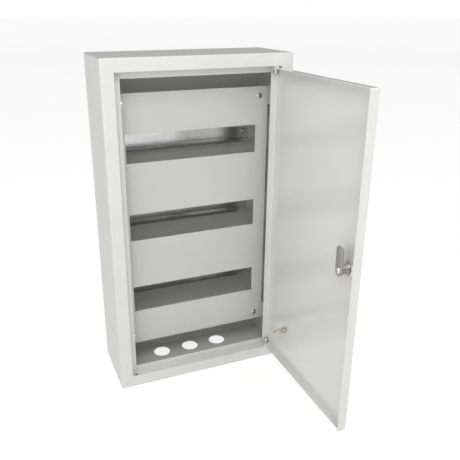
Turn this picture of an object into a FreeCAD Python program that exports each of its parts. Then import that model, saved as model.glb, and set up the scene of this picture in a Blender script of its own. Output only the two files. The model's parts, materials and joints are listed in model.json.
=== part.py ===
import FreeCAD, Part
import math
import os

# Surface-mounted three-row distribution enclosure, in millimetres.
# Origin: centre of the wall-fixing hole pattern, on the back face.
# +X right, +Y towards the wall, +Z up. The door is drawn closed and then swung open.

os.makedirs("parts", exist_ok=True)

# ---------------------------------------------------------------- enclosure body
WIDTH = 300.0
HEIGHT = 540.0
DEPTH = 120.0
BODY_SHEET = 1.5
BODY_BEND = 2.5            # outside radius of the body's bends
FRAME_MARGIN = 20.0        # front frame seen around the door
FRAME_SKIRT = 8.0          # depth of the front frame's outer skirt
OPENING_ROUND = 1.2        # rounding where the frame turns into the rebate
REBATE_DEPTH = 14.8
LIP_WIDTH = 10.0
BACK_FLANGE = 12.0
WALL_HOLE_SPACING_X = 150.0
WALL_HOLE_SPACING_Z = 470.0
WALL_HOLE_RADIUS = 3.5
CABLE_HOLE_RADIUS = 15.0
CABLE_HOLE_PITCH = 55.0
CABLE_HOLE_FROM_BACK = 37.0

# ---------------------------------------------------------------- screws
THREAD_RADIUS = 2.0        # shank and tapped hole of the M4 fixing screws
SCREW_HEAD_RADIUS = 4.6
SCREW_HEAD_HEIGHT = 3.0
PANEL_SCREW_LENGTH = 9.0
PANEL_SCREW_HOLE_RADIUS = 2.6
RAIL_SCREW_LENGTH = 6.5
HEAD_ROUNDING = 0.55       # rounded rim of a head, as a share of its height
RECESS_SPAN = 1.1          # span of a cross recess, as a share of its head's radius
RECESS_DEPTH = 0.55        # depth of a cross recess, as a share of its head's height
RECESS_BAR = 0.24          # width of each arm of a cross recess, as a share of its span

# ---------------------------------------------------------------- device rows
ROW_PITCH = 130.0
ROW_COUNT = 3
RAIL_LENGTH = 250.0
RAIL_WIDTH = 35.0
RAIL_WEB = 27.0            # over the outsides of the two legs
RAIL_DEPTH = 7.5
RAIL_SHEET = 1.0
RAIL_BACK_GAP = 9.0        # rail's rear face to the back of the enclosure
RAIL_SCREW_X = 117.0
RAIL_SLOT_WIDTH = 5.2
RAIL_SLOT_TRAVEL = 4.0

# ---------------------------------------------------------------- brackets
BRACKET_HEIGHT = 30.0
BRACKET_CORNER = 2.0
PANEL_BRACKET_REACH = 41.5 # tab's reach from the side wall
PANEL_BRACKET_FLANGE = 27.0
RAIL_BRACKET_OUTER = 146.0 # outer end of the rail bracket's tab
RAIL_BRACKET_REACH = 42.0
RAIL_BRACKET_TOE = 12.0    # toe welded to the back sheet

# ---------------------------------------------------------------- dead-front panel
PANEL_WIDTH = 262.0
PANEL_HEIGHT = 430.0
PANEL_SHEET = 1.5
PANEL_SET_BACK = 46.5      # enclosure's front face to the panel's front face
PANEL_FLANGE = 8.0
PANEL_FLANGE_LENGTH = 204.0
PANEL_CORNER = 1.5
SLOT_WIDTH = 220.0
SLOT_HEIGHT = 46.0
SLOT_CORNER = 1.0
PANEL_SCREW_X = 115.0
PANEL_SCREW_Z = 200.0

# ---------------------------------------------------------------- door and hinges
DOOR_SHEET = 1.2
DOOR_LEFT = -129.0
DOOR_RIGHT = 128.5
DOOR_BOTTOM = -246.5
DOOR_TOP = 248.0
DOOR_BEND = 2.4
DOOR_FLANGE = 10.7         # hinge, top and bottom flanges
DOOR_FREE_FLANGE = 14.3    # deeper flange on the lock side
HINGE_X = 122.7
HINGE_SET_BACK = 5.5       # pin axis behind the enclosure's front face
HINGE_PIN_RADIUS = 4.0
HINGE_TAIL_RADIUS = 3.0
HINGE_CLEARANCE = 0.05
HINGE_PIN_RISE = 9.0       # pin's height inside the door's flange
HINGE_RIVET_RADIUS = 3.9
HINGE_RIVET_HEIGHT = 2.0
HINGE_WASHER_RADIUS = 5.2
HINGE_WASHER_GAP = 0.1     # running gap between spacer and door
HINGE_PIN_CHAMFER = 0.8
DOOR_OPEN_ANGLE = 90.0

# ---------------------------------------------------------------- lock
LOCK_X = -104.5
LOCK_Z = 6.3
LOCK_BARREL_RADIUS = 8.0
LOCK_BARREL_FLAT = 5.9     # barrel's axis to each of its two flats
LOCK_BARREL_GAP = 0.6      # end of the barrel to the cam
LOCK_BEZEL_RADIUS = 12.5
LOCK_BEZEL_HEIGHT = 1.8
LOCK_BEZEL_ROUND = 1.0
LOCK_NUT_FLATS = 22.0
LOCK_NUT_HEIGHT = 4.5
PLUG_RADIUS = 5.0
PLUG_CLEARANCE = 0.06
PLUG_SET_BACK = 0.3        # plug's face behind the bezel's face
PLUG_SQUARE = 6.5
KEY_SOCKET_RADIUS = 3.2
KEY_SOCKET_DEPTH = 9.0
KEY_PIN_RADIUS = 1.4
KEY_BIT_REACH = 4.2
KEY_BIT_WIDTH = 2.0
CAM_SET_BACK = 18.0        # enclosure's front face to the cam's front face, door shut
CAM_SHEET = 2.0
CAM_WIDTH = 15.0
CAM_REACH = 34.5
CAM_TIP_ROUND = 4.5
CAM_HEEL_DROP = 1.5        # centre of the cam's rounded heel below its pivot
CAM_SCREW_RADIUS = 5.0
CAM_SCREW_HEIGHT = 2.5
CAM_SCREW_ROUND = 1.2
CAM_SCREW_DEPTH = 5.0
CAM_RECESS_SPAN = 6.0
CAM_RECESS_DEPTH = 1.3

# ---------------------------------------------------------------- earth studs and terminal bars
STUD_RADIUS = 2.5
STUD_LENGTH = 23.0
STUD_CHAMFER = 0.6
STUD_COLLAR_RADIUS = 3.7   # weld collar at the stud's foot
STUD_COLLAR_HEIGHT = 1.0
STUD_NUT_FLATS = 8.0
STUD_NUT_HEIGHT = 4.7
STUD_LOCK_NUT_HEIGHT = 3.7
STUD_NUT_TURN = 35.0
STUD_LOCK_NUT_TURN = 10.0
STUD_WASHER_RADIUS = 5.0
STUD_SMALL_WASHER_RADIUS = 4.3
STUD_WASHER_SHEET = 1.0
DOOR_STUD_X = 58.0
DOOR_STUD_Z = -182.5
BODY_STUD_X = -40.0
BODY_STUD_Z = -205.0
BAR_LENGTH = 150.0
BAR_HEIGHT = 9.0
BAR_DEPTH = 6.5
BAR_SCREW_COUNT = 11
BAR_SCREW_PITCH = 12.0
BAR_SCREW_RADIUS = 3.0
BAR_SCREW_HEIGHT = 2.2
BAR_SCREW_SLOT = 0.8
BAR_WIRE_RADIUS = 2.4
BAR_FIXING_X = 71.0        # screws that hold the bar to its feet
BAR_FIXING_HEAD_RADIUS = 3.4
BAR_FIXING_DEPTH = 6.0     # screw's length inside a foot
BAR_FOOT_DEPTH = 14.0      # back sheet to the bar's rear face
BAR_FOOT_WIDTH = 12.0
BAR_FOOT_HEIGHT = 18.0
BAR_FOOT_CORNER = 1.5
NEUTRAL_BAR_Z = 60.0
EARTH_BAR_Z = -72.0

# ---------------------------------------------------------------- derived planes
FRONT = -DEPTH
HALF_WIDTH = WIDTH / 2.0
HALF_HEIGHT = HEIGHT / 2.0
INNER_HALF_WIDTH = HALF_WIDTH - BODY_SHEET
INNER_HALF_HEIGHT = HALF_HEIGHT - BODY_SHEET
OPENING_HALF_WIDTH = HALF_WIDTH - FRAME_MARGIN
OPENING_HALF_HEIGHT = HALF_HEIGHT - FRAME_MARGIN
LIP_FRONT = FRONT + REBATE_DEPTH
BACK_FRONT = -BODY_SHEET
PANEL_FRONT = FRONT + PANEL_SET_BACK
PANEL_BACK = PANEL_FRONT + PANEL_SHEET
RAIL_BACK = -RAIL_BACK_GAP
HINGE_Y = FRONT + HINGE_SET_BACK
DOOR_INNER = FRONT + DOOR_SHEET
CAM_FRONT = FRONT + CAM_SET_BACK
BAR_BACK = BACK_FRONT - BAR_FOOT_DEPTH
BAR_FRONT = BAR_BACK - BAR_DEPTH
OVERSHOOT = 1.0            # cutting tools run this far past the metal
ROW_NAMES = ("upper", "middle", "lower")
ROW_HEIGHTS = [ROW_PITCH * (1 - index) for index in range(ROW_COUNT)]
SIDES = (("left", -1), ("right", 1))
LEVELS = (("upper", 1), ("lower", -1))


# ---------------------------------------------------------------- shape helpers
def box(x_span, y_span, z_span):
    """Block between two limits on each axis."""
    low = [min(span) for span in (x_span, y_span, z_span)]
    size = [abs(span[1] - span[0]) for span in (x_span, y_span, z_span)]
    return Part.makeBox(size[0], size[1], size[2], FreeCAD.Vector(*low))


def centred_box(half_x, y_span, half_z):
    """Block centred on the Y axis."""
    return box((-half_x, half_x), y_span, (-half_z, half_z))


def edges_along_y(shape):
    return [edge for edge in shape.Edges if abs(edge.tangentAt(edge.FirstParameter).y) > 0.999]


def edges_in_plane_y(shape, y):
    inside = []
    for edge in shape.Edges:
        limits = edge.BoundBox
        if abs(limits.YMin - y) < 1e-4 and abs(limits.YMax - y) < 1e-4:
            inside.append(edge)
    return inside


def pressed_tray(x_span, y_front, y_back, z_span, sheet, bend):
    """Open-backed tray of folded sheet with rounded outer bends and its face at y_front."""
    outer = box(x_span, (y_front, y_back), z_span)
    outer = outer.makeFillet(bend, edges_along_y(outer))
    outer = outer.makeFillet(bend * 0.98, edges_in_plane_y(outer, y_front))
    inside_x = (x_span[0] + sheet, x_span[1] - sheet)
    inside_z = (z_span[0] + sheet, z_span[1] - sheet)
    inner = box(inside_x, (y_front + sheet, y_back + 1.0), inside_z)
    inner = inner.makeFillet(bend - sheet, edges_along_y(inner))
    inner = inner.makeFillet((bend - sheet) * 0.98, edges_in_plane_y(inner, y_front + sheet))
    return outer.cut(inner)


def tube(half_x, half_z, y_span, sheet, bend):
    """Rectangular sheet tube along Y, given by its outside, with rounded corners."""
    outer = centred_box(half_x, y_span, half_z)
    inner = centred_box(half_x - sheet, y_span, half_z - sheet)
    if bend > sheet:
        outer = outer.makeFillet(bend, edges_along_y(outer))
        inner = inner.makeFillet(bend - sheet, edges_along_y(inner))
    return outer.cut(inner)


def cylinder_y(x, z, y_span, radius):
    base = FreeCAD.Vector(x, min(y_span), z)
    return Part.makeCylinder(radius, abs(y_span[1] - y_span[0]), base, FreeCAD.Vector(0, 1, 0))


def cylinder_z(x, y, z_span, radius):
    base = FreeCAD.Vector(x, y, min(z_span))
    return Part.makeCylinder(radius, abs(z_span[1] - z_span[0]), base, FreeCAD.Vector(0, 0, 1))


def domed_head(x, z, y_seat, radius, height):
    """Pan head standing forward of its seat, with a rounded front rim."""
    head = cylinder_y(x, z, (y_seat - height, y_seat), radius)
    return head.makeFillet(height * HEAD_ROUNDING, edges_in_plane_y(head, y_seat - height))


def cross_recess(x, z, y_span, span):
    """Upright and level arms of a cross, as a cutting tool."""
    arm = span * RECESS_BAR / 2
    upright = box((x - arm, x + arm), y_span, (z - span / 2, z + span / 2))
    level = box((x - span / 2, x + span / 2), y_span, (z - arm, z + arm))
    return upright.fuse(level)


def pan_screw(x, z, y_seat, head_radius, head_height, shank_radius, shank_length):
    """Cross-recess screw along Y whose head sits on the plane y_seat."""
    head = domed_head(x, z, y_seat, head_radius, head_height)
    shank = cylinder_y(x, z, (y_seat, y_seat + shank_length), shank_radius)
    head_front = y_seat - head_height
    recess_span = (head_front - OVERSHOOT, head_front + head_height * RECESS_DEPTH)
    recess = cross_recess(x, z, recess_span, head_radius * RECESS_SPAN)
    return head.fuse(shank).cut(recess).removeSplitter()


def fixing_screw(x, z, y_seat, length):
    return pan_screw(x, z, y_seat, SCREW_HEAD_RADIUS, SCREW_HEAD_HEIGHT, THREAD_RADIUS, length)


def hexagon_prism(x, z, y_span, flats, turn=0.0):
    radius = flats / math.sqrt(3.0)
    corners = []
    for index in range(7):
        angle = math.radians(60.0 * index + turn)
        corners.append(FreeCAD.Vector(x + radius * math.cos(angle), min(y_span), z + radius * math.sin(angle)))
    face = Part.Face(Part.makePolygon(corners))
    return face.extrude(FreeCAD.Vector(0, abs(y_span[1] - y_span[0]), 0))


def hexagon_nut(x, z, y_span, flats, hole_radius, turn=0.0):
    """Hexagon nut along Y with the usual turned corners."""
    turned = cylinder_y(x, z, y_span, flats / math.sqrt(3.0))
    turned = turned.makeChamfer(flats * 0.05, turned.Edges[0:1] + turned.Edges[2:3])
    return hexagon_prism(x, z, y_span, flats, turn).common(turned).cut(cylinder_y(x, z, y_span, hole_radius))


def washer(x, z, y_span, radius, hole_radius):
    return cylinder_y(x, z, y_span, radius).cut(cylinder_y(x, z, y_span, hole_radius))


def swing_open(shape):
    """Turns a door piece from shut to its open rest position about the hinge pins."""
    turned = shape.copy()
    turned.rotate(FreeCAD.Vector(HINGE_X, HINGE_Y, 0), FreeCAD.Vector(0, 0, 1), DOOR_OPEN_ANGLE)
    return turned


# ---------------------------------------------------------------- enclosure body
def hinge_hole(side, level):
    reach = (level * (OPENING_HALF_HEIGHT - 1.0), level * (OPENING_HALF_HEIGHT + BODY_SHEET + 1.0))
    return cylinder_z(side * HINGE_X, HINGE_Y, reach, HINGE_TAIL_RADIUS)


def front_frame():
    """Pressed front frame: face, outer skirt, rebate return and the lip the door closes on."""
    face = pressed_tray((-HALF_WIDTH, HALF_WIDTH), FRONT, FRONT + FRAME_SKIRT,
                        (-HALF_HEIGHT, HALF_HEIGHT), BODY_SHEET, BODY_BEND)
    return_x = OPENING_HALF_WIDTH + BODY_SHEET
    return_z = OPENING_HALF_HEIGHT + BODY_SHEET
    block = centred_box(return_x, (FRONT, LIP_FRONT + BODY_SHEET), return_z)
    rebate = centred_box(OPENING_HALF_WIDTH, (FRONT - 1.0, LIP_FRONT), OPENING_HALF_HEIGHT)
    window = centred_box(OPENING_HALF_WIDTH - LIP_WIDTH, (FRONT - 1.0, 0.0), OPENING_HALF_HEIGHT - LIP_WIDTH)
    frame = face.fuse(block).cut(rebate).cut(window).removeSplitter()
    rim = []
    for edge in edges_in_plane_y(frame, FRONT):
        limits = edge.BoundBox
        widest = max(abs(limits.XMin), abs(limits.XMax))
        tallest = max(abs(limits.ZMin), abs(limits.ZMax))
        if widest < return_x and tallest < return_z:
            rim.append(edge)
    frame = frame.makeFillet(OPENING_ROUND, rim)
    for _, side in SIDES:
        for _, level in LEVELS:
            frame = frame.cut(hinge_hole(side, level))
    return frame


def body_wrap():
    """Four outer walls folded from one strip, with three cable entries in the floor."""
    walls = tube(HALF_WIDTH, HALF_HEIGHT, (FRONT + FRAME_SKIRT, 0.0), BODY_SHEET, BODY_BEND)
    for index in (-1, 0, 1):
        floor = (-HALF_HEIGHT - 1.0, -INNER_HALF_HEIGHT + 1.0)
        walls = walls.cut(cylinder_z(index * CABLE_HOLE_PITCH, -CABLE_HOLE_FROM_BACK, floor, CABLE_HOLE_RADIUS))
    return walls


def back_panel():
    """Flanged rear sheet welded inside the walls, with four wall-fixing holes."""
    panel = centred_box(INNER_HALF_WIDTH, (-BACK_FLANGE, 0.0), INNER_HALF_HEIGHT)
    panel = panel.makeFillet(BODY_BEND - BODY_SHEET, edges_along_y(panel))
    hollow_x = INNER_HALF_WIDTH - BODY_SHEET
    hollow = centred_box(hollow_x, (-BACK_FLANGE, BACK_FRONT), INNER_HALF_HEIGHT - BODY_SHEET)
    panel = panel.cut(hollow)
    for _, side in SIDES:
        for _, level in LEVELS:
            x = side * WALL_HOLE_SPACING_X / 2
            z = level * WALL_HOLE_SPACING_Z / 2
            panel = panel.cut(cylinder_y(x, z, (-BODY_SHEET - 1.0, 1.0), WALL_HOLE_RADIUS))
    return panel


# ---------------------------------------------------------------- device rows
def tab_corners(tab):
    """Corner edges of a bracket's tab at its end nearer the middle of the enclosure."""
    edges = edges_along_y(tab)
    nearest = min(abs(edge.Vertexes[0].X) for edge in edges)
    return [edge for edge in edges if abs(edge.Vertexes[0].X) < nearest + OVERSHOOT]


def rail_bracket(side, z):
    """Rail support: a tab behind the rail's end, a leg and a toe welded to the back sheet."""
    outer = side * RAIL_BRACKET_OUTER
    z_span = (z - BRACKET_HEIGHT / 2, z + BRACKET_HEIGHT / 2)
    tab = box((outer - side * RAIL_BRACKET_REACH, outer), (RAIL_BACK, RAIL_BACK + BODY_SHEET), z_span)
    tab = tab.makeFillet(BRACKET_CORNER, tab_corners(tab))
    leg = box((outer - side * BODY_SHEET, outer), (RAIL_BACK, BACK_FRONT), z_span)
    toe = box((outer - side * RAIL_BRACKET_TOE, outer), (BACK_FRONT - BODY_SHEET, BACK_FRONT), z_span)
    hole_span = (RAIL_BACK - OVERSHOOT, RAIL_BACK + BODY_SHEET + OVERSHOOT)
    hole = cylinder_y(side * RAIL_SCREW_X, z, hole_span, THREAD_RADIUS)
    return tab.fuse(leg).fuse(toe).removeSplitter().cut(hole)


def din_rail(z):
    """Top-hat rail, 35 mm wide and 7.5 mm deep, open side forward."""
    half_length = RAIL_LENGTH / 2
    x_span = (-half_length, half_length)
    rail_front = RAIL_BACK - RAIL_DEPTH
    web = box(x_span, (RAIL_BACK - RAIL_SHEET, RAIL_BACK), (z - RAIL_WEB / 2, z + RAIL_WEB / 2))
    rail = web
    for level in (-1, 1):
        leg_z = (z + level * (RAIL_WEB / 2 - RAIL_SHEET), z + level * RAIL_WEB / 2)
        flange_z = (z + level * (RAIL_WEB / 2 - RAIL_SHEET), z + level * RAIL_WIDTH / 2)
        leg = box(x_span, (rail_front, RAIL_BACK), leg_z)
        flange = box(x_span, (rail_front, rail_front + RAIL_SHEET), flange_z)
        rail = rail.fuse(leg).fuse(flange)
    rail = rail.removeSplitter()
    for _, side in SIDES:
        rail = rail.cut(rail_slot(side * RAIL_SCREW_X, z))
    return rail


def rail_slot(x, z):
    """Round-ended fixing slot through the rail's web."""
    y_span = (RAIL_BACK - RAIL_SHEET - 1.0, RAIL_BACK + 1.0)
    radius = RAIL_SLOT_WIDTH / 2
    slot = box((x - RAIL_SLOT_TRAVEL, x + RAIL_SLOT_TRAVEL), y_span, (z - radius, z + radius))
    for end in (-RAIL_SLOT_TRAVEL, RAIL_SLOT_TRAVEL):
        slot = slot.fuse(cylinder_y(x + end, z, y_span, radius))
    return slot


def rail_screws():
    screws = []
    for z in ROW_HEIGHTS:
        for _, side in SIDES:
            screws.append(fixing_screw(side * RAIL_SCREW_X, z, RAIL_BACK - RAIL_SHEET, RAIL_SCREW_LENGTH))
    return Part.makeCompound(screws)


# ---------------------------------------------------------------- dead-front panel
def panel_bracket(side, level):
    """Angle welded to a side wall behind a corner of the dead-front panel."""
    wall = side * INNER_HALF_WIDTH
    z = level * PANEL_SCREW_Z
    z_span = (z - BRACKET_HEIGHT / 2, z + BRACKET_HEIGHT / 2)
    tab = box((wall - side * PANEL_BRACKET_REACH, wall), (PANEL_BACK, PANEL_BACK + BODY_SHEET), z_span)
    tab = tab.makeFillet(BRACKET_CORNER, tab_corners(tab))
    flange = box((wall - side * BODY_SHEET, wall), (PANEL_BACK, PANEL_BACK + PANEL_BRACKET_FLANGE), z_span)
    hole_span = (PANEL_BACK - OVERSHOOT, PANEL_BACK + BODY_SHEET + OVERSHOOT)
    hole = cylinder_y(side * PANEL_SCREW_X, z, hole_span, THREAD_RADIUS)
    return tab.fuse(flange).removeSplitter().cut(hole)


def dead_front_panel():
    """Inner cover with one window for each row of modular devices."""
    half_x = PANEL_WIDTH / 2
    half_z = PANEL_HEIGHT / 2
    panel = centred_box(half_x, (PANEL_FRONT, PANEL_BACK), half_z)
    panel = panel.makeFillet(PANEL_CORNER, edges_along_y(panel))
    for _, level in LEVELS:
        flange_z = (level * (half_z - PANEL_SHEET), level * half_z)
        flange_y = (PANEL_FRONT, PANEL_FRONT + PANEL_FLANGE)
        flange = box((-PANEL_FLANGE_LENGTH / 2, PANEL_FLANGE_LENGTH / 2), flange_y, flange_z)
        panel = panel.fuse(flange)
    for z in ROW_HEIGHTS:
        window = box((-SLOT_WIDTH / 2, SLOT_WIDTH / 2), (PANEL_FRONT - 1.0, PANEL_BACK + 1.0),
                     (z - SLOT_HEIGHT / 2, z + SLOT_HEIGHT / 2))
        window = window.makeFillet(SLOT_CORNER, edges_along_y(window))
        panel = panel.cut(window)
    for _, side in SIDES:
        for _, level in LEVELS:
            panel = panel.cut(cylinder_y(side * PANEL_SCREW_X, level * PANEL_SCREW_Z,
                                         (PANEL_FRONT - 1.0, PANEL_BACK + 1.0), PANEL_SCREW_HOLE_RADIUS))
    return panel.removeSplitter()


def panel_screws():
    screws = []
    for _, side in SIDES:
        for _, level in LEVELS:
            x = side * PANEL_SCREW_X
            screws.append(fixing_screw(x, level * PANEL_SCREW_Z, PANEL_FRONT, PANEL_SCREW_LENGTH))
    return Part.makeCompound(screws)


# ---------------------------------------------------------------- terminal bars and earth studs
def bar_screw_positions():
    first = -BAR_SCREW_PITCH * (BAR_SCREW_COUNT - 1) / 2
    return [first + BAR_SCREW_PITCH * index for index in range(BAR_SCREW_COUNT)]


def terminal_bar(z):
    """Brass bar with a row of wire holes, screwed to a foot at each end."""
    bar = centred_box(BAR_LENGTH / 2, (BAR_FRONT, BAR_BACK), BAR_HEIGHT / 2)
    bar.translate(FreeCAD.Vector(0, 0, z))
    for x in bar_screw_positions():
        wire_hole = cylinder_z(x, (BAR_FRONT + BAR_BACK) / 2, (z - BAR_HEIGHT, z + BAR_HEIGHT), BAR_WIRE_RADIUS)
        bar = bar.cut(wire_hole)
    for _, side in SIDES:
        fixing_span = (BAR_FRONT - OVERSHOOT, BAR_BACK + OVERSHOOT)
        bar = bar.cut(cylinder_y(side * BAR_FIXING_X, z, fixing_span, THREAD_RADIUS))
    return bar


def terminal_bar_screws(z):
    """Slotted heads of the clamping screws, and the two screws that hold the bar."""
    screws = []
    half_slot = BAR_SCREW_SLOT / 2
    slot_front = BAR_FRONT - BAR_SCREW_HEIGHT - OVERSHOOT
    for x in bar_screw_positions():
        head = domed_head(x, z, BAR_FRONT, BAR_SCREW_RADIUS, BAR_SCREW_HEIGHT)
        slot = box((x - BAR_SCREW_RADIUS, x + BAR_SCREW_RADIUS), (slot_front, BAR_FRONT - BAR_SCREW_HEIGHT / 2),
                   (z - half_slot, z + half_slot))
        screws.append(head.cut(slot))
    for _, side in SIDES:
        screws.append(pan_screw(side * BAR_FIXING_X, z, BAR_FRONT, BAR_FIXING_HEAD_RADIUS, BAR_SCREW_HEIGHT,
                                THREAD_RADIUS, BAR_DEPTH + BAR_FIXING_DEPTH))
    return Part.makeCompound(screws)


def terminal_bar_feet(z):
    """Two moulded insulating feet on the back sheet."""
    feet = []
    half_width = BAR_FOOT_WIDTH / 2
    half_height = BAR_FOOT_HEIGHT / 2
    for _, side in SIDES:
        x = side * BAR_FIXING_X
        foot = box((x - half_width, x + half_width), (BAR_BACK, BACK_FRONT), (z - half_height, z + half_height))
        foot = foot.makeFillet(BAR_FOOT_CORNER, edges_along_y(foot))
        screw_hole = cylinder_y(x, z, (BAR_BACK - OVERSHOOT, BAR_BACK + BAR_FIXING_DEPTH), THREAD_RADIUS)
        feet.append(foot.cut(screw_hole))
    return Part.makeCompound(feet)


def earth_stud(x, z, y_base):
    """Weld stud with a collar at its foot, drawn pointing to +Y from y_base."""
    stud = cylinder_y(x, z, (y_base, y_base + STUD_LENGTH), STUD_RADIUS)
    stud = stud.makeChamfer(STUD_CHAMFER, edges_in_plane_y(stud, y_base + STUD_LENGTH))
    collar = cylinder_y(x, z, (y_base, y_base + STUD_COLLAR_HEIGHT), STUD_COLLAR_RADIUS)
    return stud.fuse(collar).removeSplitter()


def earth_nuts(x, z, y_base):
    """Thin locking nut on the collar and a full nut above the washers."""
    lower = y_base + STUD_COLLAR_HEIGHT
    washers = lower + STUD_LOCK_NUT_HEIGHT
    upper = washers + 2 * STUD_WASHER_SHEET
    nuts = [
        hexagon_nut(x, z, (lower, washers), STUD_NUT_FLATS, STUD_RADIUS, STUD_LOCK_NUT_TURN),
        hexagon_nut(x, z, (upper, upper + STUD_NUT_HEIGHT), STUD_NUT_FLATS, STUD_RADIUS, STUD_NUT_TURN),
    ]
    return Part.makeCompound(nuts)


def earth_washers(x, z, y_base):
    first = y_base + STUD_COLLAR_HEIGHT + STUD_LOCK_NUT_HEIGHT
    second = first + STUD_WASHER_SHEET
    washers = [
        washer(x, z, (first, second), STUD_WASHER_RADIUS, STUD_RADIUS),
        washer(x, z, (second, second + STUD_WASHER_SHEET), STUD_SMALL_WASHER_RADIUS, STUD_RADIUS),
    ]
    return Part.makeCompound(washers)


def facing_forward(shape, x, z):
    """Turns a stud piece drawn from the plane y = 0 so that it stands forward of the back sheet."""
    turned = shape.copy()
    turned.rotate(FreeCAD.Vector(x, 0, z), FreeCAD.Vector(0, 0, 1), 180.0)
    turned.translate(FreeCAD.Vector(0, BACK_FRONT, 0))
    return turned


# ---------------------------------------------------------------- door and hinges
def door_panel():
    """Door pan: face, three shallow flanges and a deeper one on the lock side."""
    pan = pressed_tray((DOOR_LEFT, DOOR_RIGHT), FRONT, FRONT + DOOR_FREE_FLANGE,
                       (DOOR_BOTTOM, DOOR_TOP), DOOR_SHEET, DOOR_BEND)
    trim = box((DOOR_LEFT + DOOR_SHEET + 0.1, DOOR_RIGHT + 1.0),
               (FRONT + DOOR_FLANGE, FRONT + DOOR_FREE_FLANGE + 1.0), (DOOR_BOTTOM - 1.0, DOOR_TOP + 1.0))
    pan = pan.cut(trim)
    for end in ((DOOR_BOTTOM - 1.0, DOOR_BOTTOM + 2.0), (DOOR_TOP - 2.0, DOOR_TOP + 1.0)):
        pan = pan.cut(cylinder_z(HINGE_X, HINGE_Y, end, HINGE_PIN_RADIUS + HINGE_CLEARANCE))
    return pan.cut(lock_barrel((FRONT - OVERSHOOT, DOOR_INNER + OVERSHOOT)))


def hinge_pin(level):
    """Shouldered pin riveted in the rebate return; the door's flange turns on it."""
    door_edge = DOOR_TOP if level > 0 else DOOR_BOTTOM
    return_face = level * OPENING_HALF_HEIGHT
    tip = door_edge - level * (DOOR_SHEET + HINGE_PIN_RISE)
    pin = cylinder_z(HINGE_X, HINGE_Y, (return_face, tip), HINGE_PIN_RADIUS)
    tip_edges = []
    for edge in pin.Edges:
        limits = edge.BoundBox
        if abs(limits.ZMin - tip) < 1e-4 and abs(limits.ZMax - tip) < 1e-4:
            tip_edges.append(edge)
    pin = pin.makeChamfer(HINGE_PIN_CHAMFER, tip_edges)
    seat = return_face + level * BODY_SHEET
    tail_end = seat + level * HINGE_RIVET_HEIGHT
    tail = cylinder_z(HINGE_X, HINGE_Y, (return_face, tail_end), HINGE_TAIL_RADIUS)
    rivet = cylinder_z(HINGE_X, HINGE_Y, (seat, tail_end), HINGE_RIVET_RADIUS)
    return pin.fuse(tail).fuse(rivet).removeSplitter()


def hinge_washer(level):
    """Spacer ring that holds the door off the rebate return."""
    door_edge = DOOR_TOP if level > 0 else DOOR_BOTTOM
    return_face = level * OPENING_HALF_HEIGHT
    inner_face = door_edge + level * HINGE_WASHER_GAP
    ring = cylinder_z(HINGE_X, HINGE_Y, (return_face, inner_face), HINGE_WASHER_RADIUS)
    return ring.cut(cylinder_z(HINGE_X, HINGE_Y, (return_face, inner_face), HINGE_PIN_RADIUS))


# ---------------------------------------------------------------- lock
def lock_barrel(y_span):
    """Round barrel with a flat on its left and right sides, which keep it from turning in the door."""
    barrel = cylinder_y(LOCK_X, LOCK_Z, y_span, LOCK_BARREL_RADIUS)
    between_flats = box((LOCK_X - LOCK_BARREL_FLAT, LOCK_X + LOCK_BARREL_FLAT), y_span,
                        (LOCK_Z - LOCK_BARREL_RADIUS, LOCK_Z + LOCK_BARREL_RADIUS))
    return barrel.common(between_flats)


def lock_housing():
    """Flatted barrel with a round bezel on the door's outer face."""
    bezel_front = FRONT - LOCK_BEZEL_HEIGHT
    barrel = lock_barrel((FRONT, CAM_FRONT - LOCK_BARREL_GAP))
    bezel = cylinder_y(LOCK_X, LOCK_Z, (bezel_front, FRONT), LOCK_BEZEL_RADIUS)
    bezel = bezel.makeFillet(LOCK_BEZEL_ROUND, edges_in_plane_y(bezel, bezel_front))
    bore_span = (bezel_front - OVERSHOOT, CAM_FRONT + OVERSHOOT)
    bore = cylinder_y(LOCK_X, LOCK_Z, bore_span, PLUG_RADIUS + PLUG_CLEARANCE)
    return barrel.fuse(bezel).cut(bore).removeSplitter()


def lock_nut():
    return hexagon_nut(LOCK_X, LOCK_Z, (DOOR_INNER, DOOR_INNER + LOCK_NUT_HEIGHT), LOCK_NUT_FLATS,
                       LOCK_BARREL_RADIUS, 30.0)


def key_socket(face):
    """Double-bit key socket with a pin in its middle, as a cutting tool."""
    y_span = (face - OVERSHOOT, face + KEY_SOCKET_DEPTH)
    socket = cylinder_y(LOCK_X, LOCK_Z, y_span, KEY_SOCKET_RADIUS)
    bits = box((LOCK_X - KEY_BIT_REACH, LOCK_X + KEY_BIT_REACH), y_span,
               (LOCK_Z - KEY_BIT_WIDTH / 2, LOCK_Z + KEY_BIT_WIDTH / 2))
    return socket.fuse(bits).cut(cylinder_y(LOCK_X, LOCK_Z, y_span, KEY_PIN_RADIUS))


def square_bar(y_span):
    """Square that carries the cam on the plug."""
    half = PLUG_SQUARE / 2
    return box((LOCK_X - half, LOCK_X + half), y_span, (LOCK_Z - half, LOCK_Z + half))


def lock_plug():
    """Turning plug with a key socket in front and a square tail for the cam."""
    face = FRONT - LOCK_BEZEL_HEIGHT + PLUG_SET_BACK
    cam_back = CAM_FRONT + CAM_SHEET
    plug = cylinder_y(LOCK_X, LOCK_Z, (face, CAM_FRONT), PLUG_RADIUS)
    tail = square_bar((CAM_FRONT, cam_back))
    thread = cylinder_y(LOCK_X, LOCK_Z, (cam_back - CAM_SCREW_DEPTH, cam_back + OVERSHOOT), THREAD_RADIUS)
    return plug.cut(key_socket(face)).fuse(tail).cut(thread).removeSplitter()


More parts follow.
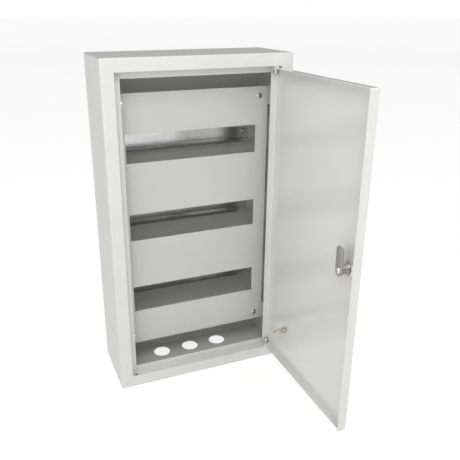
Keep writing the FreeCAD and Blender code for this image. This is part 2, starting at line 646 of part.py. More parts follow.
def lock_cam():
    """Flat cam, upright when unlocked, with a rounded heel and softened tip."""
    y_span = (CAM_FRONT, CAM_FRONT + CAM_SHEET)
    half = CAM_WIDTH / 2
    blade = box((LOCK_X - half, LOCK_X + half), y_span, (LOCK_Z - CAM_HEEL_DROP, LOCK_Z + CAM_REACH))
    tip_edges = [edge for edge in edges_along_y(blade) if edge.BoundBox.ZMin > LOCK_Z]
    blade = blade.makeFillet(CAM_TIP_ROUND, tip_edges)
    heel = cylinder_y(LOCK_X, LOCK_Z - CAM_HEEL_DROP, y_span, half)
    hole = square_bar((CAM_FRONT - OVERSHOOT, CAM_FRONT + CAM_SHEET + OVERSHOOT))
    return blade.fuse(heel).removeSplitter().cut(hole)


def cam_screw():
    seat = CAM_FRONT + CAM_SHEET
    head_top = seat + CAM_SCREW_HEIGHT
    head = cylinder_y(LOCK_X, LOCK_Z, (seat, head_top), CAM_SCREW_RADIUS)
    head = head.makeFillet(CAM_SCREW_ROUND, edges_in_plane_y(head, head_top))
    shank = cylinder_y(LOCK_X, LOCK_Z, (seat - CAM_SCREW_DEPTH, seat), THREAD_RADIUS)
    recess = cross_recess(LOCK_X, LOCK_Z, (head_top - CAM_RECESS_DEPTH, head_top + OVERSHOOT), CAM_RECESS_SPAN)
    return head.fuse(shank).cut(recess).removeSplitter()


# ---------------------------------------------------------------- assembly
def enclosure_nodes():
    nodes = {
        "front_frame": front_frame(),
        "body_wrap": body_wrap(),
        "back_panel": back_panel(),
        "rail_screws": rail_screws(),
        "dead_front_panel": dead_front_panel(),
        "panel_screws": panel_screws(),
    }
    for name, z in zip(ROW_NAMES, ROW_HEIGHTS):
        nodes["din_rail_" + name] = din_rail(z)
    for side_name, side in SIDES:
        for row_name, z in zip(ROW_NAMES, ROW_HEIGHTS):
            nodes["rail_bracket_" + row_name + "_" + side_name] = rail_bracket(side, z)
        for level_name, level in LEVELS:
            nodes["panel_bracket_" + level_name + "_" + side_name] = panel_bracket(side, level)
    for level_name, level in LEVELS:
        nodes["hinge_pin_" + level_name] = hinge_pin(level)
        nodes["hinge_washer_" + level_name] = hinge_washer(level)
    for name, z in (("neutral_bar", NEUTRAL_BAR_Z), ("earth_bar", EARTH_BAR_Z)):
        nodes[name] = terminal_bar(z)
        nodes[name + "_screws"] = terminal_bar_screws(z)
        nodes[name + "_feet"] = terminal_bar_feet(z)
    for name, piece in (("stud", earth_stud), ("nuts", earth_nuts), ("washers", earth_washers)):
        shape = piece(BODY_STUD_X, BODY_STUD_Z, 0.0)
        nodes["body_earth_" + name] = facing_forward(shape, BODY_STUD_X, BODY_STUD_Z)
    return nodes


def door_nodes():
    nodes = {
        "door_panel": door_panel(),
        "lock_housing": lock_housing(),
        "lock_nut": lock_nut(),
        "lock_plug": lock_plug(),
        "lock_cam": lock_cam(),
        "cam_screw": cam_screw(),
        "door_earth_stud": earth_stud(DOOR_STUD_X, DOOR_STUD_Z, DOOR_INNER),
        "door_earth_nuts": earth_nuts(DOOR_STUD_X, DOOR_STUD_Z, DOOR_INNER),
        "door_earth_washers": earth_washers(DOOR_STUD_X, DOOR_STUD_Z, DOOR_INNER),
    }
    return {name: swing_open(shape) for name, shape in nodes.items()}


for node_name, node_shape in {**enclosure_nodes(), **door_nodes()}.items():
    node_shape.exportStep("parts/" + node_name + ".step")
    print(node_name, "solids", len(node_shape.Solids), "valid", node_shape.isValid())
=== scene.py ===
import json
import math

import bmesh
import bpy
from mathutils import Matrix, Vector


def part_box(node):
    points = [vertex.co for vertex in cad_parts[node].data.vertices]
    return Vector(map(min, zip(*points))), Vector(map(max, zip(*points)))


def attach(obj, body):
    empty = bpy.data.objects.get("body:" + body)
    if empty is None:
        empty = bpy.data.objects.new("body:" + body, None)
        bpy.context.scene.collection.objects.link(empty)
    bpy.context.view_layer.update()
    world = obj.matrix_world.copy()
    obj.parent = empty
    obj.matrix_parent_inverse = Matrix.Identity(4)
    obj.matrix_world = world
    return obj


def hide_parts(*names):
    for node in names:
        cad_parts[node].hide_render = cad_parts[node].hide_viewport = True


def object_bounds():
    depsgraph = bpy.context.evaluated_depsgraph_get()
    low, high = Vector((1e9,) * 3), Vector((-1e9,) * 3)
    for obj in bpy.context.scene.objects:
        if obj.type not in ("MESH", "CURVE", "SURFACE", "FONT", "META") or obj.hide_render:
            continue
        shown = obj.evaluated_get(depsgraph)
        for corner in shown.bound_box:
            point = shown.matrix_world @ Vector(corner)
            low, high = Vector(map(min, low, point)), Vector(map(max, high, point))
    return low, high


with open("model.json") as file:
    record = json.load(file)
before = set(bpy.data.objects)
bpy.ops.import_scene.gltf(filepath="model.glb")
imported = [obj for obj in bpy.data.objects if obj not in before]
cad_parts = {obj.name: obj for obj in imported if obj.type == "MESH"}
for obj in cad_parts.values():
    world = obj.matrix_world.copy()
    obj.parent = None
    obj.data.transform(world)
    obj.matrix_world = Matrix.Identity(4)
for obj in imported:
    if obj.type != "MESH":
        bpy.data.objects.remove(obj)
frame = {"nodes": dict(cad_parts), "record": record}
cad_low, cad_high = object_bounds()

MM = 0.001


# ---------------------------------------------------------------- node helpers
# Most of a noise texture's values lie between these two.
NOISE_LOW = 0.3
NOISE_HIGH = 0.7


class Nodes:
    """Small helper that builds one material's node tree."""

    def __init__(self, name):
        self.material = bpy.data.materials.new(name)
        self.material.use_nodes = True
        self.tree = self.material.node_tree
        self.shader = self.tree.nodes["Principled BSDF"]

    def add(self, kind):
        return self.tree.nodes.new(kind)

    def link(self, source, target):
        self.tree.links.new(source, target)

    def position(self):
        return self.add("ShaderNodeTexCoord").outputs["Object"]

    def noise(self, scale, detail=2.0, stretch=(1.0, 1.0, 1.0)):
        mapping = self.add("ShaderNodeMapping")
        mapping.inputs["Scale"].default_value = stretch
        self.link(self.position(), mapping.inputs["Vector"])
        noise = self.add("ShaderNodeTexNoise")
        noise.inputs["Scale"].default_value = scale
        noise.inputs["Detail"].default_value = detail
        self.link(mapping.outputs["Vector"], noise.inputs["Vector"])
        return noise.outputs["Fac"]

    def spread(self, value, low, high):
        """Noise spread over a range of numbers."""
        node = self.add("ShaderNodeMapRange")
        node.inputs["From Min"].default_value = NOISE_LOW
        node.inputs["From Max"].default_value = NOISE_HIGH
        node.inputs["To Min"].default_value = low
        node.inputs["To Max"].default_value = high
        self.link(value, node.inputs["Value"])
        return node.outputs["Result"]

    def tint(self, value, dark, light):
        """Noise spread between two colours."""
        ramp = self.add("ShaderNodeValToRGB")
        dark_stop, light_stop = ramp.color_ramp.elements
        dark_stop.position = NOISE_LOW
        dark_stop.color = (*dark, 1.0)
        light_stop.position = NOISE_HIGH
        light_stop.color = (*light, 1.0)
        self.link(value, ramp.inputs["Fac"])
        return ramp.outputs["Color"]

    def bump(self, value, strength, distance, under=None):
        """Relief from a noise, on top of another relief if one is given."""
        node = self.add("ShaderNodeBump")
        node.inputs["Strength"].default_value = strength
        node.inputs["Distance"].default_value = distance
        self.link(value, node.inputs["Height"])
        if under is not None:
            self.link(under, node.inputs["Normal"])
        return node.outputs["Normal"]


def scaled(colour, factor):
    """Colour with every channel multiplied by a factor."""
    return tuple(channel * factor for channel in colour)


# ---------------------------------------------------------------- materials
PAINT_COLOUR = (0.60, 0.604, 0.570)


def powder_coat(name, shade, roughness, specular, peel):
    """Light grey powder coat, whose orange peel is a broad ripple with a finer one on top."""
    paint = Nodes(name)
    # A shade other than 1.00 makes a darker copy (painted shade) or a brighter copy (painted light) of the
    # same paint.
    base = scaled(PAINT_COLOUR, shade)
    cloud = paint.noise(9.0, 3.0)
    tone = paint.tint(cloud, scaled(base, 0.975), scaled(base, 1.02))
    paint.link(tone, paint.shader.inputs["Base Color"])
    speck = paint.noise(420.0, 2.0)
    paint.link(paint.spread(speck, *roughness), paint.shader.inputs["Roughness"])
    broad = paint.bump(paint.noise(240.0, 1.5), peel, 0.4 * MM)
    fine = paint.bump(paint.noise(620.0, 1.0), 0.7 * peel, 0.2 * MM, broad)
    paint.link(fine, paint.shader.inputs["Normal"])
    paint.shader.inputs["Specular IOR Level"].default_value = specular
    return paint.material


def metal(name, colour, roughness, grain_bump=0.10, grain_scale=900.0, stretch=(1.0, 1.0, 1.0)):
    """Metal with faint clouding, uneven gloss and a fine grain. A stretch makes brush lines of it."""
    surface = Nodes(name)
    cloud = surface.noise(60.0, 3.0)
    tone = surface.tint(cloud, scaled(colour, 0.90), scaled(colour, 1.06))
    surface.link(tone, surface.shader.inputs["Base Color"])
    grain = surface.noise(grain_scale, 2.0, stretch=stretch)
    gloss = surface.spread(grain, roughness * 0.85, roughness * 1.15)
    surface.link(gloss, surface.shader.inputs["Roughness"])
    surface.link(surface.bump(grain, grain_bump, 0.05 * MM), surface.shader.inputs["Normal"])
    surface.shader.inputs["Metallic"].default_value = 1.0
    return surface.material


def moulded_plastic(name, colour):
    """Matt plastic with faint clouding and the fine grain of an eroded mould."""
    plastic = Nodes(name)
    cloud = plastic.noise(120.0, 2.0)
    tone = plastic.tint(cloud, scaled(colour, 0.9), scaled(colour, 1.08))
    plastic.link(tone, plastic.shader.inputs["Base Color"])
    grain = plastic.noise(1500.0, 2.0)
    plastic.link(plastic.spread(grain, 0.42, 0.55), plastic.shader.inputs["Roughness"])
    plastic.link(plastic.bump(grain, 0.15, 0.1 * MM), plastic.shader.inputs["Normal"])
    return plastic.material


PAINT = powder_coat("powder_coat", shade=1.00, roughness=(0.27, 0.31), specular=0.16, peel=0.014)
# Body walls and inside panel: the same paint made 9 % darker, which is painted shade.
SHADED_BODY_PAINT = powder_coat("body_powder_coat_painted_shade", shade=0.91, roughness=(0.27, 0.31), specular=0.16, peel=0.014)
# Door: the same paint made 3 % brighter, which is painted light, and made glossier.
LIT_DOOR_PAINT = powder_coat("door_powder_coat_painted_light", shade=1.03, roughness=(0.10, 0.14), specular=0.65, peel=0.06)
RAIL = metal("zinc_rail", (0.66, 0.66, 0.65), roughness=0.20, grain_bump=0.02, grain_scale=700.0,
             stretch=(0.01, 1.0, 1.0))
SCREW = metal("zinc_screw", (0.74, 0.74, 0.72), roughness=0.18)
PIN = metal("turned_steel", (0.56, 0.56, 0.55), roughness=0.24, stretch=(1.0, 1.0, 8.0))
LOCK = metal("satin_nickel", (0.74, 0.715, 0.69), roughness=0.30)
CAM = metal("stamped_zinc", (0.47, 0.46, 0.45), roughness=0.48)
COPPER = metal("copper_plate", (0.68, 0.53, 0.44), roughness=0.22)
BRASS = metal("drawn_brass", (0.78, 0.61, 0.30), roughness=0.28, stretch=(0.05, 1.0, 1.0))
NYLON = moulded_plastic("nylon", (0.62, 0.61, 0.55))
BLUE = moulded_plastic("blue_insulator", (0.03, 0.10, 0.32))
GREEN = moulded_plastic("green_insulator", (0.04, 0.20, 0.06))

SLOT_MATERIALS = {
    "painted_steel": PAINT,
    "rail_steel": RAIL,
    "screw_steel": SCREW,
    "pin_steel": PIN,
    "washer_plastic": NYLON,
    "lock_metal": LOCK,
    "stud_copper": COPPER,
    "bar_brass": BRASS,
    "neutral_insulator": BLUE,
    "earth_insulator": GREEN,
}

# Nodes whose paint is a copy of their slot's paint: darker where it holds painted shade, brighter and
# glossier where it holds painted light.
NODE_MATERIALS = {
    "body_wrap": SHADED_BODY_PAINT,
    "dead_front_panel": SHADED_BODY_PAINT,
    "door_panel": LIT_DOOR_PAINT,
}


def finish_cad_nodes():
    """Gives each CAD node the material of its slot, or its own."""
    for part in frame["record"]["subparts"]:
        mesh_object = frame["nodes"][part["node"]]
        material = NODE_MATERIALS.get(part["node"], SLOT_MATERIALS[part["material_slot"]])
        for material_slot in mesh_object.material_slots:
            material_slot.material = material


# ---------------------------------------------------------------- mesh helpers
UP = Vector((0.0, 0.0, 1.0))
FORWARD = Vector((0.0, -1.0, 0.0))
LEFT = Vector((-1.0, 0.0, 0.0))
SHARP_ANGLE = math.radians(32.0)


def add_rings(builder, rings, closed=False):
    """Skins over rings of points. A closed skin joins its ends, and an open one is capped."""
    loops = [[builder.verts.new(point) for point in points] for points in rings]
    pairs = list(zip(loops, loops[1:]))
    if closed:
        pairs.append((loops[-1], loops[0]))
    for lower, upper in pairs:
        for index in range(len(lower)):
            after = (index + 1) % len(lower)
            builder.faces.new((lower[index], lower[after], upper[after], upper[index]))
    if not closed:
        builder.faces.new(loops[0])
        builder.faces.new(loops[-1])


def even_angles(count):
    """Evenly spaced angles of one turn."""
    return [2.0 * math.pi * index / count for index in range(count)]


def ring(radius, height, angles):
    """Ring of points at a height; radius is a number or a function of the angle."""
    points = []
    for angle in angles:
        reach = radius(angle) if callable(radius) else radius
        points.append((reach * math.cos(angle), reach * math.sin(angle), height))
    return points


def turned_rings(profile, angles):
    """Rings of a turned shape, from its radius and height pairs."""
    return [ring(radius, height, angles) for radius, height in profile]


def placing(origin, axis, side):
    """Matrix that puts local +Z on the axis and local +X on the side direction."""
    third = axis.cross(side)
    rotation = Matrix((side, third, axis)).transposed().to_4x4()
    return Matrix.Translation(origin) @ rotation


def middle(node):
    """Centre of a node's box."""
    low, high = map(Vector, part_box(node))
    return (low + high) / 2.0


def reach_along(node, axis):
    """Length of a node's box along an axis."""
    low, high = map(Vector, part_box(node))
    return abs((high - low).dot(axis))


def start_of(node, axis):
    """Middle of the face of a node's box that the axis leaves from."""
    return middle(node) - axis * reach_along(node, axis) / 2.0


def end_of(node, axis):
    """Middle of the face of a node's box that the axis arrives at."""
    return middle(node) + axis * reach_along(node, axis) / 2.0


def make_piece(name, builder, place, node, body, material_slot, material=None):
    """Turns a mesh under construction into a piece that stands for one CAD node."""
    bmesh.ops.recalc_face_normals(builder, faces=builder.faces)
    mesh = bpy.data.meshes.new(name)
    builder.to_mesh(mesh)
    builder.free()
    mesh.shade_smooth()
    mesh.set_sharp_from_angle(angle=SHARP_ANGLE)
    mesh.materials.append(material or SLOT_MATERIALS[material_slot])
    piece = bpy.data.objects.new(name, mesh)
    piece.matrix_world = place
    bpy.context.scene.collection.objects.link(piece)
    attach(piece, body)
    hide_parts(node)


# ---------------------------------------------------------------- fastener shapes
SCREW_SHANK_RADIUS = 2.0 * MM
SCREW_PITCH = 0.7 * MM


def thread_rings(radius, start, end, pitch, chamfer, angles, flat=None):
    """Rings of a screw thread, chamfered at its end, with flats on local Y if they are asked for."""
    rings = []
    depth = 0.55 * pitch
    steps = max(2, round((end - start) / (pitch / 4.0)))
    for step in range(steps + 1):
        height = start + (end - start) * step / steps
        taper = max(0.0, chamfer - (end - height))
        points = []
        for angle in angles:
            phase = (height / pitch - angle / (2.0 * math.pi)) % 1.0
            groove = depth * abs(2.0 * phase - 1.0)
            reach = min(radius - groove, radius - taper)
            x, y = reach * math.cos(angle), reach * math.sin(angle)
            if flat is not None:
                y = max(-flat, min(flat, y))
            points.append((x, y, height))
        rings.append(points)
    return rings


def add_hex_nut(builder, across_flats, height, bore, start, turn):
    """Hexagon nut with turned chamfers outside and in the bore."""
    angles = even_angles(72)
    half = across_flats / 2.0
    chamfer_radius = half * 0.96
    sixth = math.pi / 3.0

    def side(angle):
        return half / math.cos((angle - turn) % sixth - sixth / 2.0)

    def chamfered(level, inward):
        points = []
        for angle in angles:
            drop = (side(angle) - chamfer_radius) * math.tan(math.radians(30.0))
            reach = side(angle)
            points.append((reach * math.cos(angle), reach * math.sin(angle), level + inward * drop))
        return points

    rim = 0.08 * bore + 0.2 * MM
    top = start + height
    rings = [
        ring(chamfer_radius, start, angles),
        chamfered(start, 1.0),
        chamfered(top, -1.0),
        ring(chamfer_radius, top, angles),
        ring(bore + rim, top, angles),
        ring(bore, top - rim, angles),
        ring(bore, start + rim, angles),
        ring(bore + rim, start, angles),
    ]
    add_rings(builder, rings, closed=True)


def add_washer(builder, radius, bore, start, sheet):
    """Punched washer with a rounded outer edge."""
    edge = sheet * 0.22
    profile = [
        (bore, start), (radius - edge, start), (radius, start + edge), (radius, start + sheet - edge),
        (radius - edge, start + sheet), (bore + edge, start + sheet), (bore, start + sheet - edge),
    ]
    add_rings(builder, turned_rings(profile, even_angles(48)), closed=True)


def cross_angles(arm, span):
    """Angles that meet every corner of a cross recess, the same in each quarter."""
    corner = math.atan2(arm, span)
    eighth = math.pi / 4.0
    first = [0.0, corner, corner + (eighth - corner) * 0.35, corner + (eighth - corner) * 0.7, eighth]
    quarter = first + [math.pi / 2.0 - angle for angle in reversed(first[1:-1])]
    return [angle + quadrant * math.pi / 2.0 for quadrant in range(4) for angle in quarter]


def add_cross_screw(builder, centre, head_radius, head_height, recess, shank_length):
    """Pan-head screw with a cross recess, its head standing up from height 0 and its shank below."""
    span, recess_depth = recess
    arm = span * 0.24
    angles = cross_angles(arm, span)

    def cross(scale):
        def outline(angle):
            across = max(abs(math.cos(angle)), abs(math.sin(angle)))
            along = min(abs(math.cos(angle)), abs(math.sin(angle)))
            end = span / across
            return scale * (end if along * end <= arm * 1.0001 else arm / along)
        return outline

    shank_tip = (SCREW_SHANK_RADIUS * 0.6, -shank_length - 0.0001 * MM)
    head = [(0.97, 0.0), (1.0, 0.10), (1.0, 0.42), (0.96, 0.66), (0.86, 0.85), (0.72, 0.96)]
    rings = [ring(*shank_tip, angles)]
    rings += thread_rings(SCREW_SHANK_RADIUS, -shank_length, 0.0, SCREW_PITCH, 0.0, angles)
    rings += turned_rings([(head_radius * across, head_height * up) for across, up in head], angles)
    for scale, depth in [(1.0, 0.0), (0.94, 0.15), (0.74, 0.80)]:
        rings.append(ring(cross(scale), head_height - depth * recess_depth, angles))
    rings.append(ring(arm * 0.8, head_height - recess_depth, angles))
    moved = [[(x + centre[0], y + centre[1], z) for x, y, z in points] for points in rings]
    add_rings(builder, moved)


# ---------------------------------------------------------------- earth studs
STUD_RADIUS = 2.5 * MM
STUD_PITCH = 0.8 * MM
STUD_COLLAR = 1.0 * MM
STUD_FLATS = 8.0 * MM
LOWER_NUT = 3.7 * MM
UPPER_NUT = 4.7 * MM
STUD_WASHER = 1.0 * MM
WIDE_WASHER_RADIUS = 5.0 * MM
SMALL_WASHER_RADIUS = 4.3 * MM
STUD_CHAMFER = 0.6 * MM
LOWER_NUT_TURN = math.radians(20.0)
UPPER_NUT_TURN = math.radians(55.0)


def threaded_stud(prefix, body, axis):
    """Weld stud: a low collar and a thread with a chamfered end."""
    node = prefix + "_stud"
    angles = even_angles(40)
    length = reach_along(node, axis)
    collar = [
        (STUD_RADIUS * 1.48, 0.0),
        (STUD_RADIUS * 1.44, STUD_COLLAR * 0.6),
        (STUD_RADIUS * 1.15, STUD_COLLAR),
        (STUD_RADIUS * 0.85, STUD_COLLAR),
    ]
    builder = bmesh.new()
    rings = turned_rings(collar, angles)
    rings += thread_rings(STUD_RADIUS, STUD_COLLAR, length, STUD_PITCH, STUD_CHAMFER, angles)
    add_rings(builder, rings)
    place = placing(start_of(node, axis), axis, UP)
    make_piece(prefix + "_threaded_stud", builder, place, node, body, "stud_copper")


def stud_nuts(prefix, body, axis):
    """Two hexagon nuts with the room of two washers between them, turned apart."""
    node = prefix + "_nuts"
    builder = bmesh.new()
    add_hex_nut(builder, STUD_FLATS, LOWER_NUT, STUD_RADIUS, 0.0, LOWER_NUT_TURN)
    upper = LOWER_NUT + 2.0 * STUD_WASHER
    add_hex_nut(builder, STUD_FLATS, UPPER_NUT, STUD_RADIUS, upper, UPPER_NUT_TURN)
    place = placing(start_of(node, axis), axis, UP)
    make_piece(prefix + "_hex_nuts", builder, place, node, body, "stud_copper")


def stud_washers(prefix, body, axis):
    """Two washers that lie on each other, the upper one smaller."""
    node = prefix + "_washers"
    builder = bmesh.new()
    add_washer(builder, WIDE_WASHER_RADIUS, STUD_RADIUS, 0.0, STUD_WASHER)
    add_washer(builder, SMALL_WASHER_RADIUS, STUD_RADIUS, STUD_WASHER, STUD_WASHER)
    place = placing(start_of(node, axis), axis, UP)
    make_piece(prefix + "_punched_washers", builder, place, node, body, "stud_copper")


def earth_terminal(prefix, body, axis):
    """Earth stud with its nuts and washers."""
    threaded_stud(prefix, body, axis)
    stud_nuts(prefix, body, axis)
    stud_washers(prefix, body, axis)


# ---------------------------------------------------------------- lock
BEZEL_RADIUS = 12.5 * MM
BEZEL_HEIGHT = 1.8 * MM
BARREL_RADIUS = 8.0 * MM
BARREL_FLAT = 5.9 * MM
BARREL_PITCH = 1.5 * MM
BARREL_CHAMFER = 0.7 * MM
PLUG_BORE = 5.06 * MM
LOCK_NUT_FLATS = 22.0 * MM
CAM_TIP_ROUND = 4.5 * MM
CAM_EDGE_ROUND = 0.45 * MM
CAM_HOLE_HALF = 3.27 * MM
CAM_SCREW_RADIUS = 5.0 * MM
CAM_SCREW_HEIGHT = 2.5 * MM
CAM_SCREW_RECESS = (3.0 * MM, 1.3 * MM)


def lock_housing():
    """Round bezel outside the door and a threaded barrel with two flats inside it."""
    node = "lock_housing"
    angles = even_angles(72)
    length = reach_along(node, LEFT)
    bezel = [
        (PLUG_BORE, 0.25 * MM),
        (PLUG_BORE + 0.25 * MM, 0.0),
        (BEZEL_RADIUS * 0.90, 0.0),
        (BEZEL_RADIUS * 0.96, 0.15 * MM),
        (BEZEL_RADIUS * 0.99, 0.5 * MM),
        (BEZEL_RADIUS, 1.0 * MM),
        (BEZEL_RADIUS, BEZEL_HEIGHT),
        (BARREL_RADIUS, BEZEL_HEIGHT),
    ]
    rings = turned_rings(bezel, angles)
    rings += thread_rings(BARREL_RADIUS, BEZEL_HEIGHT, length, BARREL_PITCH, BARREL_CHAMFER, angles,
                          flat=BARREL_FLAT)
    rings += turned_rings([(PLUG_BORE + 0.3 * MM, length), (PLUG_BORE, length - 0.3 * MM)], angles)
    builder = bmesh.new()
    add_rings(builder, rings, closed=True)
    make_piece("lock_barrel", builder, placing(start_of(node, LEFT), LEFT, UP), node, "door", "lock_metal")


def lock_nut():
    """Hexagon nut that clamps the lock to the door."""
    node = "lock_nut"
    builder = bmesh.new()
    add_hex_nut(builder, LOCK_NUT_FLATS, reach_along(node, LEFT), BARREL_RADIUS, 0.0, 0.0)
    make_piece("lock_hex_nut", builder, placing(start_of(node, LEFT), LEFT, UP), node, "door", "lock_metal")


def rounded_outline(corners, steps=8):
    """Closed outline through rounded corners: centre x and y, radius, first and last angle of each."""
    points = []
    for x, y, radius, first, last in corners:
        for step in range(steps + 1):
            angle = math.radians(first + (last - first) * step / steps)
            points.append((x + radius * math.cos(angle), y + radius * math.sin(angle)))
    return points


def cam_outline(width, heel, reach, tip_round):
    """Round heel below the pivot, and a straight blade along local +X with two rounded corners."""
    half = width / 2.0
    blade = reach - tip_round
    corners = [
        (blade, half - tip_round, tip_round, 90.0, 0.0),
        (blade, tip_round - half, tip_round, 0.0, -90.0),
        (heel, 0.0, half, -90.0, -180.0),
        (heel, 0.0, half, -180.0, -270.0),
    ]
    return rounded_outline(corners)


def shrunk(outline, amount, centre):
    """Outline moved towards a centre by about the same amount everywhere."""
    moved = []
    for x, y in outline:
        offset = Vector((x - centre[0], y - centre[1]))
        offset *= 1.0 - amount / offset.length
        moved.append((centre[0] + offset.x, centre[1] + offset.y))
    return moved


def square_hole(outline, half):
    """Point of a square hole for each point of the outline around it."""
    points = []
    for x, y in outline:
        scale = half / max(abs(x), abs(y))
        points.append((x * scale, y * scale))
    for corner in ((half, half), (half, -half), (-half, half), (-half, -half)):
        nearest = min(range(len(points)), key=lambda index: math.dist(points[index], corner))
        points[nearest] = corner
    return points


def lock_cam():
    """Stamped cam: the punched edge is rounded on its upper side."""
    node = "lock_cam"
    low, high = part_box(node)
    pivot = middle("lock_plug")
    sheet = reach_along(node, LEFT)
    width = high[1] - low[1]
    top = high[2] - pivot.z
    heel = low[2] - pivot.z + width / 2.0
    outline = cam_outline(width, heel, top, CAM_TIP_ROUND)
    core = (top * 0.5, 0.0)
    hole = square_hole(outline, CAM_HOLE_HALF)
    edge = CAM_EDGE_ROUND
    levels = [
        (outline, 0.0),
        (outline, sheet - edge),
        (shrunk(outline, edge * 0.35, core), sheet - edge * 0.3),
        (shrunk(outline, edge, core), sheet),
        (hole, sheet),
        (hole, 0.0),
    ]
    rings = [[(x, y, height) for x, y in points] for points, height in levels]
    builder = bmesh.new()
    add_rings(builder, rings, closed=True)
    origin = Vector((high[0], pivot.y, pivot.z))
    make_piece("lock_stamped_cam", builder, placing(origin, LEFT, UP), node, "lock_rotor", "lock_metal", CAM)


def cam_screw():
    """Screw that holds the cam on the plug."""
    node = "cam_screw"
    builder = bmesh.new()
    shank = reach_along(node, LEFT) - CAM_SCREW_HEIGHT
    add_cross_screw(builder, (0.0, 0.0), CAM_SCREW_RADIUS, CAM_SCREW_HEIGHT, CAM_SCREW_RECESS, shank)
    origin = end_of(node, LEFT) - LEFT * CAM_SCREW_HEIGHT
    make_piece("lock_cam_screw", builder, placing(origin, LEFT, UP), node, "lock_rotor", "screw_steel")


# ---------------------------------------------------------------- fixing screws and hinge pins
SCREW_HEAD_RADIUS = 4.6 * MM
SCREW_HEAD_HEIGHT = 3.0 * MM
SCREW_RECESS = (2.5 * MM, 1.6 * MM)
PIN_RADIUS = 4.0 * MM


def fixing_screws(node, name, rows):
    """Two columns of pan-head screws, whose outermost heads touch the node's box."""
    across = reach_along(node, LEFT) / 2.0 - SCREW_HEAD_RADIUS
    up = reach_along(node, UP) / 2.0 - SCREW_HEAD_RADIUS
    shank = reach_along(node, FORWARD) - SCREW_HEAD_HEIGHT
    builder = bmesh.new()
    for side in (-1.0, 1.0):
        for row in range(rows):
            height = up * (2.0 * row / (rows - 1) - 1.0)
            add_cross_screw(builder, (height, side * across), SCREW_HEAD_RADIUS, SCREW_HEAD_HEIGHT,
                            SCREW_RECESS, shank)
    origin = end_of(node, FORWARD) - FORWARD * SCREW_HEAD_HEIGHT
    make_piece(name, builder, placing(origin, FORWARD, UP), node, "enclosure", "screw_steel")


def hinge_pin(node, axis):
    """Shouldered pin with a domed rivet head on the far side of the sheet."""
    length = reach_along(node, axis)
    rivet_head = [(1.2, 0.0), (2.6, 0.25), (3.5, 0.8), (3.9, 1.5), (3.9, 2.0), (3.0, 2.0)]
    shoulder = [(3.0, 3.5), (4.0, 3.5)]
    profile = [(radius * MM, height * MM) for radius, height in rivet_head + shoulder]
    rounded_end = [(0.0, 0.8), (0.15, 0.45), (0.7, 0.0)]
    profile += [(PIN_RADIUS - inset * MM, length - drop * MM) for inset, drop in rounded_end]
    builder = bmesh.new()
    add_rings(builder, turned_rings(profile, even_angles(56)))
    place = placing(start_of(node, axis), axis, -LEFT)
    make_piece(node + "_turned", builder, place, node, "enclosure", "pin_steel")


def make_pieces():
    """Finer pieces that stand for the CAD nodes of the fasteners, studs, lock and pins."""
    earth_terminal("door_earth", "door", LEFT)
    earth_terminal("body_earth", "enclosure", FORWARD)
    lock_housing()
    lock_nut()
    lock_cam()
    cam_screw()
    fixing_screws("panel_screws", "panel_pan_screws", 2)
    fixing_screws("rail_screws", "rail_pan_screws", 3)
    hinge_pin("hinge_pin_upper", -UP)
    hinge_pin("hinge_pin_lower", UP)


# ---------------------------------------------------------------- camera, light and floor
CAMERA_PLACE = (-0.29819, -0.91696, 0.33618)
CAMERA_DIP = math.radians(21.20)
CAMERA_SWING = math.radians(21.79)

LIGHT_TARGET = Vector((0.0, -0.1, 0.1))
# Name, place, side length and power.
SOFTBOXES = (
    ("left_softbox", (-2.6, -0.6, 0.5), 1.5, 8.0),
    ("front_left_softbox", (-2.3, -1.5, 0.5), 1.5, 7.5),
    ("front_right_softbox", (1.6, -2.3, 0.9), 1.5, 16.5),
    ("camera_softbox", (-0.55, -0.98, 0.35), 0.5, 1.6),
    ("top_softbox", (-0.25, -0.95, 0.95), 0.5, 5.8),
)

STUDIO_RADIUS = 9.0
STUDIO_COVE = 1.0
STUDIO_HEIGHT = 8.5
STUDIO_SEGMENTS = 96
COVE_STEPS = 8
# The floor takes this many steps of the cove, and the wall the rest.
FLOOR_STEPS = 5


def make_camera():
    """Looks down from the front left, at the same angle as the product picture."""
    camera_data = bpy.data.cameras.new("camera")
    camera_data.sensor_width = 36.0
    camera_data.lens = 44.33
    camera_data.shift_x = 0.0311
    camera_data.shift_y = -0.0096
    camera_data.clip_start = 0.01
    camera_data.clip_end = 50.0
    camera = bpy.data.objects.new("camera", camera_data)
    bpy.context.scene.collection.objects.link(camera)
    camera.location = CAMERA_PLACE
    camera.rotation_euler = (math.radians(90.0) - CAMERA_DIP, 0.0, -CAMERA_SWING)
    bpy.context.scene.camera = camera


def softbox(name, place, side, power):
    """Square area light that faces the object."""
    data = bpy.data.lights.new(name, "AREA")
    data.shape = "SQUARE"
    data.size = side
    data.energy = power
    light = bpy.data.objects.new(name, data)
    light.location = place
    direction = LIGHT_TARGET - Vector(place)
    light.rotation_euler = direction.to_track_quat("-Z", "Y").to_euler()
    bpy.context.scene.collection.objects.link(light)


def studio_material(name, glow, paint):
    """Matt grey studio surface with a glow of its own, which keeps the floor pale."""
    surface = Nodes(name)
    colour = (paint, paint, paint)
    patches = surface.noise(2.0)
    tone = surface.tint(patches, scaled(colour, 0.98), scaled(colour, 1.02))
    surface.link(tone, surface.shader.inputs["Base Color"])
    surface.shader.inputs["Roughness"].default_value = 0.95
    surface.shader.inputs["Specular IOR Level"].default_value = 0.0
    surface.shader.inputs["Emission Color"].default_value = (1.0, 1.0, 1.0, 1.0)
    surface.shader.inputs["Emission Strength"].default_value = glow
    return surface.material


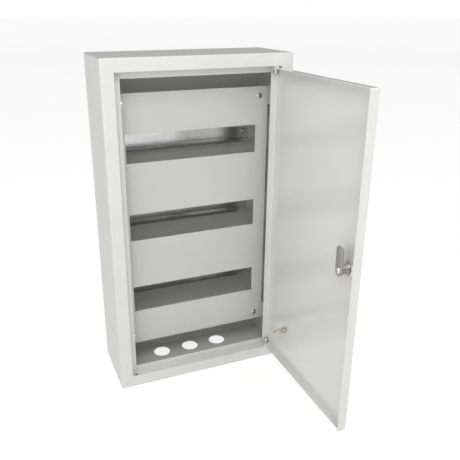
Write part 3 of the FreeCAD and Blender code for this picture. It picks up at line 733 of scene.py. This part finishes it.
def studio_shell(name, profile, glow, paint):
    """Smooth shell swept round the vertical axis from its distance and height pairs."""
    builder = bmesh.new()
    chain = [builder.verts.new((distance, 0.0, height)) for distance, height in profile]
    edges = [builder.edges.new(pair) for pair in zip(chain, chain[1:])]
    bmesh.ops.spin(builder, geom=chain + edges, cent=(0.0, 0.0, 0.0), axis=UP,
                   angle=2.0 * math.pi, steps=STUDIO_SEGMENTS)
    bmesh.ops.remove_doubles(builder, verts=builder.verts, dist=MM)
    for face in builder.faces:
        face.smooth = True
    mesh = bpy.data.meshes.new(name)
    builder.to_mesh(mesh)
    builder.free()
    mesh.materials.append(studio_material(name, glow, paint))
    shell = bpy.data.objects.new(name, mesh)
    bpy.context.scene.collection.objects.link(shell)
    return shell


def make_studio():
    """Round pale floor that sweeps up into a low wall, with a dark flag above the wall."""
    floor_level = cad_low.z - 0.5 * MM
    sweep = []
    for step in range(COVE_STEPS + 1):
        angle = math.radians(90.0 * step / COVE_STEPS)
        distance = STUDIO_RADIUS - STUDIO_COVE + STUDIO_COVE * math.sin(angle)
        sweep.append((distance, floor_level + STUDIO_COVE - STUDIO_COVE * math.cos(angle)))
    middle_floor = [(0.0, floor_level), (2.0, floor_level)]
    rim = (STUDIO_RADIUS, floor_level + STUDIO_HEIGHT)
    studio_shell("studio_floor", middle_floor + sweep[:FLOOR_STEPS + 1], glow=0.772, paint=0.27)
    studio_shell("studio_wall", sweep[FLOOR_STEPS:], glow=0.93, paint=0.10)
    flag = studio_shell("studio_flag", [sweep[-1], rim], glow=0.03, paint=0.10)
    flag.visible_camera = False


def make_lights():
    """Even pale surroundings and five softboxes."""
    scene = bpy.context.scene
    world = bpy.data.worlds.new("studio")
    scene.world = world
    world.use_nodes = True
    background = world.node_tree.nodes["Background"]
    background.inputs["Color"].default_value = (1.0, 1.0, 1.0, 1.0)
    background.inputs["Strength"].default_value = 1.20
    scene.view_settings.view_transform = "Standard"
    for name, place, side, power in SOFTBOXES:
        softbox(name, place, side, power)


finish_cad_nodes()
make_pieces()
make_camera()
make_studio()
make_lights()
